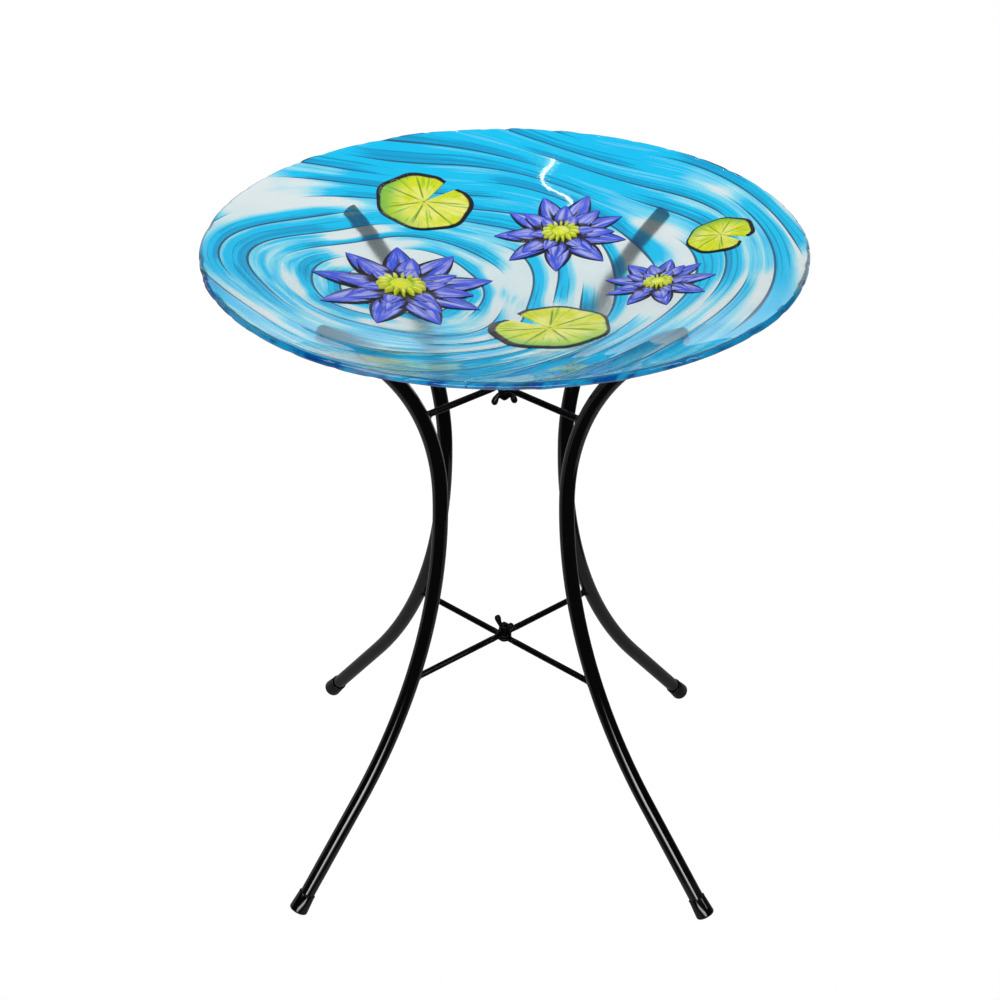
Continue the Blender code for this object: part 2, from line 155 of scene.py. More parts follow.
# Caps and plugs
CAP_LENGTH = 0.018
CAP_BASE = 0.003
CAP_EDGE = 0.002
CAP_EDGE_STEPS = 8
CAP_LIP = 0.0007
CAP_LIP_INSET = 0.0002
CAP_NECK = 1.3 * CAP_LIP
CAP_NECK_INSET = 0.0001
CAP_CLEARANCE = 0.0003
CAP_WALL = 0.0007
CAP_FLARE = 0.0009
CAP_BORE = TUBE_RADIUS + CAP_CLEARANCE
CAP_TOP = CAP_BORE + CAP_WALL
CAP_END = CAP_TOP + CAP_FLARE
FOOT_FLAT = 0.0006
PLUG_HEAD = 0.002
PLUG_STEM = 0.008
PLUG_CLEARANCE = 0.0004
PLUG_STEM_RADIUS = TUBE_RADIUS - TUBE_WALL - PLUG_CLEARANCE
PLUG_EDGE = 0.0008
SEAT_GAP = 0.0003

# Bowl
BOWL_RADIUS = (bowl_high.x - bowl_low.x) / 2
HALF_GLASS = 0.0025
GRID_STEPS = 268
RIM_RINGS = 6
UNDER_STEPS = GRID_STEPS // 2
UNDER_DEPTH = 0.3
UNDER_SLOPE = -0.2
UNDER_INWARD = -0.01

# Ripples in the glass; each bend has its share, its waves round the source and its waves outwards
SOURCE = (-0.078, -0.018)
RING_SPACING = 0.0205
RING_BENDS = ((0.060, 3.0, 17.0), (0.028, 5.0, -37.0))
GOLDEN = 0.618034
SILVER = 0.754878
ARC_GROWTH = 0.38
ARC_ENDS = (-0.95, 0.10)
LINE_AT = 0.16
LINE_HALF = 0.058
LINE_SOFTNESS = (1.0, 0.55)
LINE_TAPER = (0.02, 0.2)
LEAST_HALF = 0.0001
WASH_START = 0.03
SWELL_HEIGHT = 0.00016
GROOVE_DEPTH = 0.00018
GROOVE_HALF = 0.16
CALM_INNER = 0.85
CALM_OUTER = 1.05

# Nicks in the rim; each shift has its size and its waves round the rim
RIM_NOTCH = 4.0
RIM_WAVE = 0.0004
RIM_WAVES = 41.0
RIM_SHIFTS = ((2.4, 3.0), (1.7, 7.0))
RIM_SHARPNESS = 4


# Sums that work both on arrays of places and on shader sockets

class Field:
    """A shader value that takes part in sums."""

    def __init__(self, socket):
        self.socket = socket


def add_operator(name, operation):
    """Let Fields take part in an operation, on either side of it."""
    setattr(Field, f"__{name}__", lambda self, other: node_sum(operation, self, other))
    setattr(Field, f"__r{name}__", lambda self, other: node_sum(operation, other, self))


add_operator("add", "ADD")
add_operator("sub", "SUBTRACT")
add_operator("mul", "MULTIPLY")
add_operator("truediv", "DIVIDE")


def node_sum(operation, *values):
    """A Math node on values, at least one of them a Field."""
    tree = next(value.socket.id_data for value in values if isinstance(value, Field))
    node = tree.nodes.new("ShaderNodeMath")
    node.operation = operation
    for socket, value in zip(node.inputs, values):
        plug(socket, value)
    return Field(node.outputs[0])


def plug(socket, value):
    """Link an input to a Field or socket, or set it to a plain value."""
    if isinstance(value, Field):
        value = value.socket
    if isinstance(value, bpy.types.NodeSocket):
        socket.id_data.links.new(value, socket)
    else:
        socket.default_value = value


def either(operation, array_function):
    """A function for Fields and arrays alike."""
    def function(*values):
        if any(isinstance(value, Field) for value in values):
            return node_sum(operation, *values)
        return array_function(*values)
    return function


sine = either("SINE", np.sin)
cosine = either("COSINE", np.cos)
whole = either("FLOOR", np.floor)
root = either("SQRT", np.sqrt)
direction = either("ARCTAN2", np.arctan2)
lesser = either("MINIMUM", np.minimum)
greater = either("MAXIMUM", np.maximum)
absolute = either("ABSOLUTE", np.abs)


def ramp(low, high, value):
    """Smooth step from 0 at low to 1 at high."""
    share = lesser(greater((value - low) * (1 / (high - low)), 0.0), 1.0)
    return share * share * (3.0 - 2.0 * share)


def ripple(x, y):
    """Ring number, direction, place in the ring and strength of a ripple."""
    east = x - SOURCE[0]
    north = y - SOURCE[1]
    away = root(east * east + north * north)
    turn = direction(north, east)
    stretch = 1.0
    for share, waves, outward in RING_BENDS:
        stretch = stretch + share * sine(waves * turn + away * outward)
    ring = away * stretch * (1 / RING_SPACING)
    number = whole(ring)
    arcs = whole(number * ARC_GROWTH) + 1.0
    start = number * GOLDEN
    strength = ramp(*ARC_ENDS, cosine(arcs * turn + start * (2 * pi)))
    return ring, turn, ring - number, strength


def stroke(part, strength, place, half):
    """Dark line along a ripple, tapered to its ends."""
    off = absolute(part - place)
    return ramp(*LINE_SOFTNESS, off / (strength * half + LEAST_HALF)) * ramp(*LINE_TAPER, strength)


def wash(part, strength, spread):
    """Blue paint that fades away from the ripple's line."""
    fade = ramp(1.0, 0.0, (part - LINE_AT) / spread) * ramp(LINE_AT - WASH_START, LINE_AT, part)
    return fade * strength


def relief(x, y):
    """Height of the ripples over the plain dish."""
    part, strength = ripple(x, y)[2:]
    swell = sine(part * pi)
    groove = ramp(GROOVE_HALF, 0.0, absolute(part - LINE_AT))
    calm = 1.0
    for _, centre, radius, _ in LILIES + LEAVES + STILL_WATER:
        away = np.hypot(x - centre[0], y - centre[1])
        calm = calm * ramp(CALM_INNER * radius, CALM_OUTER * radius, away)
    return calm * strength * (SWELL_HEIGHT * swell * swell - GROOVE_DEPTH * groove)


# Meshes

def shade(mesh):
    """Smooth shading, creased where faces meet steeply."""
    mesh.shade_smooth()
    mesh.set_sharp_from_angle(angle=SMOOTH_ANGLE)


def mesh_of(name, points, faces, marks=None):
    """Smooth mesh with its faces turned outwards and any marks on its points."""
    mesh = bpy.data.meshes.new(name)
    mesh.from_pydata(points.tolist(), [], faces)
    if marks is not None:
        layer = mesh.attributes.new("marks", "FLOAT_VECTOR", "POINT")
        layer.data.foreach_set("vector", np.asarray(marks, np.float32).ravel())
    bm = bmesh.new()
    bm.from_mesh(mesh)
    bmesh.ops.remove_doubles(bm, verts=bm.verts, dist=MERGE_DISTANCE)
    bmesh.ops.recalc_face_normals(bm, faces=bm.faces)
    bm.to_mesh(mesh)
    bm.free()
    shade(mesh)
    return mesh


def strip(first, second):
    """Quads between two loops of point numbers."""
    return list(zip(first, first[1:] + first[:1], second[1:] + second[:1], second))


def loft(rings, closed=False):
    """Points and faces of a skin over rings; open ends get caps."""
    points = np.vstack(rings)
    loops = np.arange(len(points)).reshape(len(rings), -1).tolist()
    following = loops[1:] + loops[:1] if closed else loops[1:]
    faces = [face for pair in zip(loops, following) for face in strip(*pair)]
    if not closed:
        faces += [tuple(loops[0]), tuple(loops[-1])]
    return points, faces


def columns(*parts):
    """Points from coordinates, each an array or one number."""
    return np.stack(np.broadcast_arrays(*parts), -1)


def round_angles(steps):
    """Even angles round a circle."""
    return 2 * pi * np.arange(steps) / steps


def ring_about(radius, height, steps=TURN_STEPS):
    """Level ring about Z, with one radius or one for each of its points."""
    angles = round_angles(steps)
    radius = np.maximum(radius, LEAST_RADIUS)
    return columns(radius * np.cos(angles), radius * np.sin(angles), height)


def lathe(profile, steps=TURN_STEPS, closed=False):
    """Shape of an outline of (radius, height) points turned about Z."""
    return loft([ring_about(radius, height, steps) for radius, height in profile], closed)


def arc(centre, radius, start, end, steps=EDGE_STEPS):
    """Points of a circular arc, both ends included."""
    angles = np.linspace(start, end, steps + 1)
    return [(centre[0] + radius * cos(a), centre[1] + radius * sin(a)) for a in angles]


def moved(shape, matrix):
    """A shape of points and faces, carried by a matrix."""
    points, faces = shape
    m = np.array(matrix)
    return points @ m[:3, :3].T + m[:3, 3], faces


def joined(shapes):
    """One shape of several, each of points, faces and any marks."""
    faces = []
    start = 0
    for shape in shapes:
        faces += [tuple(i + start for i in face) for face in shape[1]]
        start += len(shape[0])
    points = np.vstack([shape[0] for shape in shapes])
    marks = [np.vstack(some) for some in zip(*(shape[2:] for shape in shapes))]
    return points, faces, *marks


def add_object(name, data):
    """Put an object in the scene."""
    obj = bpy.data.objects.new(name, data)
    bpy.context.scene.collection.objects.link(obj)
    return obj


def settle(obj):
    """Turn a piece's modifiers into its mesh."""
    evaluated = obj.evaluated_get(bpy.context.evaluated_depsgraph_get())
    mesh = bpy.data.meshes.new_from_object(evaluated)
    obj.modifiers.clear()
    obj.data = mesh
    shade(mesh)


def drill(obj, radius, low, high):
    """Cut a hole along the bolts' line through a piece."""
    outline = [(0.0, high), (radius, high), (radius, low), (0.0, low)]
    cutter = add_object("drill", mesh_of("drill", *lathe(outline)))
    cut = obj.modifiers.new("cut", "BOOLEAN")
    cut.operation = "DIFFERENCE"
    cut.object = cutter
    settle(obj)
    bpy.data.objects.remove(cutter)


def piece(name, shape, material, body, slot, *nodes):
    """Add a piece that rides on a body and stands for its nodes."""
    obj = add_object(name, mesh_of(name, *shape))
    obj.data.materials.append(material)
    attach(obj, body)
    if nodes:
        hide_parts(*nodes)
    return obj


# Materials

def new_material(name):
    """A material and its Principled shader."""
    material = bpy.data.materials.new(name)
    material.use_nodes = True
    return material, material.node_tree.nodes["Principled BSDF"]


def feed(node, **inputs):
    """Set or link a node's inputs, given by name."""
    for name, value in inputs.items():
        plug(node.inputs[name.replace("_", " ")], value)


def add_node(neighbour, kind, **inputs):
    """Add a node beside another node or socket, and feed its inputs."""
    node = neighbour.id_data.nodes.new("ShaderNode" + kind)
    feed(node, **inputs)
    return node


def own_place(shader):
    """The piece's own coordinates."""
    return add_node(shader, "TexCoord").outputs["Object"]


def split(vector):
    """The three parts of a vector as Fields."""
    node = add_node(vector, "SeparateXYZ", Vector=vector)
    return [Field(output) for output in node.outputs]


def noise(vector, scale, detail=3.0, rough=0.55):
    """Noise from 0 to 1 as a Field."""
    node = add_node(vector, "TexNoise", Vector=vector, Scale=scale, Detail=detail, Roughness=rough)
    return Field(node.outputs["Fac"])


def drawn_noise(detail, *parts):
    """Noise over three coordinates, the first of them a Field."""
    node = add_node(parts[0].socket, "CombineXYZ", **dict(zip("XYZ", parts)))
    return noise(node.outputs["Vector"], 1.0, detail, 0.6)


def painted(colour, *layers):
    """Colour under layers of paint, each a cover and a colour."""
    for cover, paint in layers:
        node = add_node(cover.socket, "Mix")
        node.data_type = "RGBA"
        plug(node.inputs["Factor"], cover)
        for socket, value in ((node.inputs[6], colour), (node.inputs[7], paint)):
            plug(socket, value if isinstance(value, bpy.types.NodeSocket) else (*value, 1.0))
        colour = node.outputs[2]
    return colour


def bump(shader, height, strength, depth):
    """Surface texture from a height Field."""
    node = add_node(shader, "Bump", Strength=strength, Distance=depth, Height=height)
    feed(shader, Normal=node.outputs["Normal"])


# Black enamel and plastic: each finish is a roughness and a specular level
LEG_FINISH = (0.045, 0.5)
ROD_FINISH = (0.14, 0.16)
FASTENER_FINISH = (0.24, 0.16)
PLASTIC_FINISH = (0.08, 0.4)
GLOSS_BLACK = (0.0006, 0.0006, 0.0007)
WORN_BLACK = (0.004, 0.004, 0.005)
DUST = (0.060, 0.058, 0.055)
DUST_TOP = 0.10
DUST_COVER = 0.10
CLOUD_SCALE = 38.0
PEEL_SCALE = 900.0
PEEL_STRENGTH = 0.03
PEEL_DEPTH = 0.00025
SCUFF_SCALE = 150.0
SCUFF_RANGE = (0.62, 0.74)
EDGE_RANGE = (0.54, 0.62)


def gloss_black(name, roughness, gloss):
    """Black enamel with orange peel, worn edges, scuffs and dust near the floor."""
    material, shader = new_material(name)
    place = own_place(shader)
    cloud = noise(place, CLOUD_SCALE, 4.0)
    peel = noise(place, PEEL_SCALE, 2.0)
    scuff = ramp(*SCUFF_RANGE, noise(place, SCUFF_SCALE, 5.0, 0.7))
    low = ramp(DUST_TOP, 0.0, split(place)[2])
    sharp = Field(add_node(shader, "NewGeometry").outputs["Pointiness"])
    edges = ramp(*EDGE_RANGE, sharp + 0.06 * (cloud - 0.5))
    worn = lesser(scuff * 0.35 + cloud * 0.15 + edges * 0.6, 1.0)
    dusty = low * ramp(0.45, 0.75, cloud) * DUST_COVER
    feed(
        shader,
        Base_Color=painted(GLOSS_BLACK, (worn, WORN_BLACK), (dusty, DUST)),
        Roughness=roughness + cloud * 0.03 + scuff * 0.06 + low * 0.02,
        Specular_IOR_Level=gloss,
    )
    bump(shader, peel + scuff * 0.3, PEEL_STRENGTH, PEEL_DEPTH)
    return material


# Legs, caps and plugs

def upper_bend_radius():
    """Bend that brings the leg's top end under the bowl."""
    reach = BOWL_RADIUS - BOWL_SEAT_INSET - WAIST_RADIUS
    reach -= UPPER_TAIL * sin(UPPER_ANGLE)
    return reach / (1 - cos(UPPER_ANGLE))


def cap_end_height():
    """Height of the middle of a foot cap's end face."""
    reach = (CAP_END - CAP_EDGE) * sin(LOWER_ANGLE)
    return reach + CAP_EDGE * (1 - cos(LOWER_ANGLE)) - FOOT_FLAT


def waist_height():
    """Height of the leg's narrowest place."""
    foot = FOOT_LENGTH * cos(LOWER_ANGLE)
    return cap_end_height() + foot + LOWER_RADIUS * sin(LOWER_ANGLE)


def leg_point(bend_radius, angle, side, tail=0.0):
    """Point of a bend or of the tail after it, above (1) or below (-1) the waist."""
    return (
        WAIST_RADIUS + bend_radius * (1 - cos(angle)) + tail * sin(angle),
        waist_height() + side * (bend_radius * sin(angle) + tail * cos(angle)),
    )


def leg_top():
    """Middle of the tube's top end."""
    return leg_point(upper_bend_radius(), UPPER_ANGLE, 1, UPPER_TAIL)


def foot_point(above_end):
    """Point of the foot's middle line, a distance above the cap's end."""
    return leg_point(LOWER_RADIUS, LOWER_ANGLE, -1, FOOT_LENGTH - above_end)


def leg_line():
    """Radius, height and lean of the tube's middle line, from top to foot."""
    line = [(*leg_top(), UPPER_ANGLE)]
    for angle in np.linspace(UPPER_ANGLE, 0.0, BEND_STEPS, endpoint=False):
        line.append((*leg_point(upper_bend_radius(), angle, 1), angle))
    for angle in np.linspace(0.0, LOWER_ANGLE, BEND_STEPS):
        line.append((*leg_point(LOWER_RADIUS, angle, -1), -angle))
    line.append((*foot_point(CAP_BASE + SEAT_GAP), -LOWER_ANGLE))
    return line


def tube_rings(radius):
    """Rings of a tube about the leg's line, in the XZ plane."""
    out = radius * np.cos(round_angles(LEG_SIDES))
    across = radius * np.sin(round_angles(LEG_SIDES))
    return [
        columns(reach + out * cos(lean), across, height - out * sin(lean))
        for reach, height, lean in leg_line()
    ]


def turned_to(angle):
    """Turn about an upright line."""
    return Matrix.Rotation(angle, 4, "Z")


def on_leg(place, lean, angle):
    """Where a turned piece stands on a leg's line."""
    radius, height = place
    stand = Matrix.Translation((radius, 0.0, height))
    return turned_to(angle) @ stand @ Matrix.Rotation(lean, 4, "Y")


def make_leg(side, body, angle, paint):
    """Bent tube with its wall showing at both ends."""
    rings = tube_rings(TUBE_RADIUS) + tube_rings(TUBE_RADIUS - TUBE_WALL)[::-1]
    shape = moved(loft(rings, closed=True), turned_to(angle))
    piece("tube_" + side, shape, paint, body, "leg_paint", "leg_" + side)


def make_cap(side, body, angle, plastic):
    """Flared foot cap with a rolled lip, flat where it stands."""
    lip = (CAP_TOP - CAP_LIP_INSET, CAP_LENGTH - CAP_LIP / 2)
    corner = (CAP_END - CAP_EDGE, CAP_EDGE)
    outline = [(0.0, CAP_BASE), (CAP_BORE, CAP_BASE), (CAP_BORE, lip[1])]
    outline += arc(lip, CAP_LIP / 2, UP, DOWN)
    outline.append((CAP_TOP - CAP_NECK_INSET, CAP_LENGTH - CAP_NECK))
    outline += arc(corner, CAP_EDGE, 0.0, DOWN, CAP_EDGE_STEPS)
    outline.append((0.0, 0.0))
    points, faces = moved(lathe(outline), on_leg(foot_point(0.0), -LOWER_ANGLE, angle))
    points[:, 2] = np.maximum(points[:, 2], 0.0)
    piece("cap_" + side, (points, faces), plastic, body, "cap_plastic", "foot_cap_" + side)


def make_plug(side, body, angle, plastic):
    """Mushroom plug in the top end of a leg."""
    corner = (TUBE_RADIUS - PLUG_EDGE, PLUG_HEAD - PLUG_EDGE)
    outline = [
        (0.0, PLUG_HEAD),
        *arc(corner, PLUG_EDGE, UP, 0.0),
        (TUBE_RADIUS, SEAT_GAP),
        (PLUG_STEM_RADIUS, SEAT_GAP),
        (PLUG_STEM_RADIUS, -PLUG_STEM),
        (0.0, -PLUG_STEM),
    ]
    shape = moved(lathe(outline), on_leg(leg_top(), UPPER_ANGLE, angle))
    piece("plug_" + side, shape, plastic, body, "plug_plastic", "top_plug_" + side)


# Rods with their weld beads

def leg_inner_face(height, across):
    """Radius of the tube's inner face at a height and a distance across it."""
    rise = height - waist_height()
    bend = np.where(rise > 0, upper_bend_radius(), LOWER_RADIUS)
    lean = np.arcsin(np.abs(rise) / bend)
    middle = WAIST_RADIUS + bend * (1 - np.cos(lean))
    return middle - np.sqrt(TUBE_RADIUS ** 2 - across ** 2) / np.cos(lean)


def rod_stations():
    """Distances from the eye's middle where a rod has a ring, one side."""
    strap_start = sqrt(EYE_RADIUS ** 2 - (STRAP_WIDTH / 2) ** 2)
    eye_angles = np.linspace(0.0, asin(strap_start / EYE_RADIUS), EYE_STEPS + 1)
    strap_end = strap_start + STRAP_LENGTH
    taper = np.linspace(strap_end, strap_end + TAPER_LENGTH, TAPER_STEPS + 1)
    return [*(EYE_RADIUS * np.sin(eye_angles)), *taper]


def rod_ring(distance):
    """Ring of a rod: a circle, squared where it is pressed flat."""
    round_start = rod_stations()[-1]
    press = ramp(round_start, round_start - TAPER_LENGTH, distance)
    width = ROD_RADIUS + (STRAP_WIDTH / 2 - ROD_RADIUS) * press
    width = max(width, sqrt(max(EYE_RADIUS ** 2 - distance ** 2, 0.0)))
    depth = ROD_RADIUS + (EYE_THICKNESS / 2 - ROD_RADIUS) * press
    squareness = ROUND_SQUARENESS + (PRESSED_SQUARENESS - ROUND_SQUARENESS) * press
    across, up = rounded_section(width, depth, squareness)
    return columns(distance, across, up)


def rounded_section(width, depth, squareness):
    """Points of a squared ellipse, from its half width and half depth."""
    angles = round_angles(ROD_SIDES)
    circle = np.array([np.cos(angles), np.sin(angles)])
    across, up = np.copysign(np.abs(circle) ** (2 / squareness), circle)
    return width * across, depth * up


def make_rod(level, letter, body, angle, paint):
    """Cross rod pressed flat round its drilled eye, welded at both ends."""
    node = f"{level}_rod_{letter}"
    low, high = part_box(node)
    height = (low.z + high.z) / 2
    half = [rod_ring(distance) for distance in rod_stations()]
    end = half[-1].copy()
    end[:, 0] = leg_inner_face(height + end[:, 2], end[:, 1]) + WELD_SINK
    half.append(end)
    other_half = [ring * (-1, 1, 1) for ring in reversed(half[1:])]
    shape = moved(loft(other_half + half), turned_to(angle) @ Matrix.Translation((0, 0, height)))
    rod = piece(f"{level}_cross_rod_{letter}", shape, paint, body, "rod_paint", node)
    drill(rod, HOLE_RADIUS, low.z - EYE_RADIUS, high.z + EYE_RADIUS)
    for number, turn in enumerate((angle, angle + pi)):
        bead = moved(weld_bead(height, turn), turned_to(turn))
        piece(f"{level}_weld_{letter}{number + 1}", bead, paint, body, "rod_paint")


def weld_bead(height, seed):
    """Lumpy fillet between a rod's end and its leg."""
    rings = []
    for turn in round_angles(BEAD_STEPS):
        size = BEAD_SIZE
        for share, waves, shift, climb in BEAD_LUMPS:
            size += BEAD_SIZE * share * sin(waves * turn + shift * seed + climb * height)
        outer = ROD_RADIUS + size
        outline = arc((size, outer), BEAD_HOLLOW * size, DOWN, 2 * DOWN)
        outline += [(-WELD_SINK, outer), (-WELD_SINK, BEAD_ROOT), (size, BEAD_ROOT)]
        out, reach = np.array(outline).T
        across = reach * cos(turn)
        level = height + reach * sin(turn)
        rings.append(columns(leg_inner_face(level, across) - out, across, level))
    return loft(rings, closed=True)


# Bolts, washers and wing nuts, each with its seat at height 0 and its head or wings above

def on_bolt_line(shape, seat, flip, angle=0.0):
    """Fastener put on its seat, upside down where it points down."""
    turn = Matrix.Rotation(pi if flip else 0.0, 4, "X")
    return moved(shape, Matrix.Translation((0.0, 0.0, seat)) @ turned_to(angle) @ turn)


def thread_ring(depth):
    """Ring of the bolt's shank below its head, with a V thread near its end."""
    winding = depth / THREAD_PITCH + round_angles(TURN_STEPS) / (2 * pi)
    groove = THREAD_DEPTH * np.abs(2 * (winding % 1.0) - 1)
    cut = ramp(THREAD_START, THREAD_START + 2 * THREAD_PITCH, depth)
    chamfer = max(depth - BOLT_SHANK + THREAD_CHAMFER, 0.0)
    return ring_about(np.minimum(BOLT_RADIUS - cut * groove, BOLT_RADIUS - chamfer), -depth)


def make_bolt(level, head_up, metal):
    """Dome-headed bolt with a cut thread."""
    dome = HEAD_HEIGHT - HEAD_EDGE
    crown = (HEAD_RADIUS ** 2 + dome ** 2) / (2 * dome)
    rim_angle = UP - asin(HEAD_RADIUS / crown)
    outline = arc((0.0, HEAD_HEIGHT - crown), crown, UP, rim_angle, HEAD_STEPS)
    corner = (HEAD_RADIUS - HEAD_CORNER, HEAD_CORNER)
    outline += arc(corner, HEAD_CORNER, 0.0, DOWN, HEAD_CORNER_STEPS)
    rings = [ring_about(radius, height) for radius, height in outline]
    depths = np.arange(0.0, BOLT_SHANK, THREAD_PITCH / THREAD_STEPS)
    rings += [thread_ring(depth) for depth in [*depths, BOLT_SHANK]]
    low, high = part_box(level + "_bolt")
    seat = high.z - HEAD_HEIGHT if head_up else low.z + HEAD_HEIGHT
    shape = on_bolt_line(loft(rings), seat, not head_up)
    piece(level + "_threaded_bolt", shape, metal, "frame_a", "fastener_black", level + "_bolt")


def make_washer(level, metal):
    """Stamped washer with rounded edges."""
    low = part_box(level + "_washer")[0]
    inner, outer = HOLE_RADIUS + WASHER_EDGE, WASHER_RADIUS - WASHER_EDGE
    bottom, top = WASHER_EDGE, WASHER_THICKNESS - WASHER_EDGE
    outline = []
    start = UP
    for corner in ((outer, top), (outer, bottom), (inner, bottom), (inner, top)):
        outline += arc(corner, WASHER_EDGE, start, start - UP, WASHER_EDGE_STEPS)
        start -= UP
    shape = on_bolt_line(lathe(outline, closed=True), low.z, False)
    piece(level + "_stamped_washer", shape, metal, "frame_a", "fastener_black", level + "_washer")


def wing_sections():
    """Middle, direction and size of a wing's sections: hub, narrow neck, round lobe."""
    sections = []
    for share in np.linspace(0.0, 1.0, WING_STEPS + 1):
        rest = 1 - share
        middle = rest ** 2 * WING_ROOT + 2 * share * rest * WING_BEND + share ** 2 * WING_LOBE
        along = rest * (WING_BEND - WING_ROOT) + share * (WING_LOBE - WING_BEND)
        lobe = ramp(WING_LOBE_START, 1.0, share) * (LOBE_SIZE - NECK_SIZE)
        hub = ramp(WING_ROOT_END, 0.0, share) * (HUB_SIZE - NECK_SIZE)
        sections.append((middle, along / np.linalg.norm(along), NECK_SIZE + lobe + hub))
    tip = sections[-1][1]
    for turn in np.linspace(0.0, WING_TIP_ANGLE, WING_TIP_STEPS + 1)[1:]:
        middle = WING_LOBE + tip * LOBE_SIZE[0] * sin(turn)
        thin = cos(turn)
        sections.append((middle, tip, LOBE_SIZE * (thin, sqrt(thin))))
    return sections


def wing_rings(side):
    """Rings of the wing on one side of a nut."""
    rings = []
    for middle, along, size in wing_sections():
        across, thick = rounded_section(*size, WING_SQUARENESS)
        out = middle[0] - across * along[1]
        rings.append(columns(side * out, thick, middle[1] + across * along[0]))
    return rings


def make_wing_nut(level, wings_up, metal):
    """Cast wing nut: tapered hub and two wings, melted into one form."""
    outline = [
        (NUT_TOP_RADIUS - NUT_EDGE, NUT_HEIGHT),
        (NUT_TOP_RADIUS, NUT_HEIGHT - NUT_EDGE),
        (NUT_BASE_RADIUS, NUT_EDGE),
        (NUT_BASE_RADIUS - NUT_EDGE, 0.0),
        (HOLE_RADIUS, 0.0),
        (HOLE_RADIUS, NUT_HEIGHT),
    ]
    shape = joined([lathe(outline, closed=True), loft(wing_rings(1)), loft(wing_rings(-1))])
    node = level + "_wing_nut"
    low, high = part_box(node)
    seat = low.z if wings_up else high.z
    shape = on_bolt_line(shape, seat, not wings_up, WING_ANGLES[level])
    nut = piece(level + "_cast_nut", shape, metal, level + "_nut", "fastener_black", node)
    melt = nut.modifiers.new("melt", "REMESH")
    melt.mode = "VOXEL"
    melt.voxel_size = NUT_VOXEL
    soften = nut.modifiers.new("soften", "SMOOTH")
    soften.factor = NUT_SOFTENING
    soften.iterations = NUT_SOFT_ROUNDS
    settle(nut)


# Glass bowl

def bowl_sphere():
    """Radius, edge angle and centre height of the glass's middle surface."""
    rise = bowl_high.z - bowl_low.z - 2 * HALF_GLASS
    reach = BOWL_RADIUS - HALF_GLASS
    sphere = (reach ** 2 + rise ** 2) / (2 * rise)
    return sphere, asin(reach / sphere), bowl_low.z + sphere + HALF_GLASS


def disc_grid(steps):
    """Even grid over a disc: each point's share of the radius and direction."""
    across = np.linspace(-1.0, 1.0, steps + 1)
    a, b = np.meshgrid(across, across, indexing="ij")
    wide = np.abs(a) > np.abs(b)
    share = np.where(wide, a, b)
    safe = np.where(share == 0, 1.0, share)
    turn = np.where(wide, pi / 4 * b / safe, pi / 2 - pi / 4 * a / safe)
    return share, turn


def grid_numbers(steps):
    """Numbers of the points of a grid, in rows."""
    return np.arange((steps + 1) ** 2).reshape(steps + 1, -1)


def border(steps):
    """Numbers of the grid's outer points, in order round the rim."""
    n = grid_numbers(steps)
    return np.concatenate([n[:-1, 0], n[-1, :-1], n[:0:-1, -1], n[0, :0:-1]]).tolist()


def dish_face(steps, half_offset, raise_by):
    """Points of the dish's upper or lower face, with its relief."""
    sphere, edge, centre = bowl_sphere()
    share, turn = disc_grid(steps)
    radius = sphere + half_offset
    lean = share * edge
    x = radius * np.sin(lean) * np.cos(turn)
    y = radius * np.sin(lean) * np.sin(turn)
    z = centre - radius * np.cos(lean)
    height = raise_by(x, y)
    towards = columns(-x, -y, centre - z) / radius
    points = columns(x, y, z) + towards * height[..., None]
    return points.reshape(-1, 3)


def grid_faces(steps, start, flip):
    """Quads of a grid of points."""
    n = start + grid_numbers(steps)
    quads = np.stack([n[:-1, :-1], n[1:, :-1], n[1:, 1:], n[:-1, 1:]], -1).reshape(-1, 4)
    return (quads[:, ::-1] if flip else quads).tolist()


def rim_rings(steps):
    """Rings of the rounded rim, with the ripples' notches in it."""
    sphere, edge, centre = bowl_sphere()
    share, turn = disc_grid(steps)
    order = border(steps)
    share = share.reshape(-1)[order]
    turn = turn.reshape(-1)[order] + np.where(share < 0, pi, 0.0)
    middle = (sphere * sin(edge), centre - sphere * cos(edge))
    notch = relief(middle[0] * np.cos(turn), middle[0] * np.sin(turn)) * RIM_NOTCH + rim_wave(turn)
    size = HALF_GLASS + notch
    rings = []
    for angle in np.linspace(UP + edge, DOWN + edge, RIM_RINGS + 1)[1:-1]:
        reach = middle[0] + size * cos(angle)
        height = middle[1] + size * sin(angle)
        rings.append(columns(reach * np.cos(turn), reach * np.sin(turn), height))
    return rings


def rim_wave(turn):
    """Small uneven nicks round the rim, as in hand-pressed glass."""
    phase = RIM_WAVES * turn
    for size, waves in RIM_SHIFTS:
        phase = phase + size * np.sin(waves * turn)
    return -RIM_WAVE * np.maximum(np.sin(phase), 0.0) ** RIM_SHARPNESS


def under_relief(x, y):
    """Shallow grooves in the underside."""
    return -UNDER_DEPTH * np.minimum(relief(x, y), 0.0)


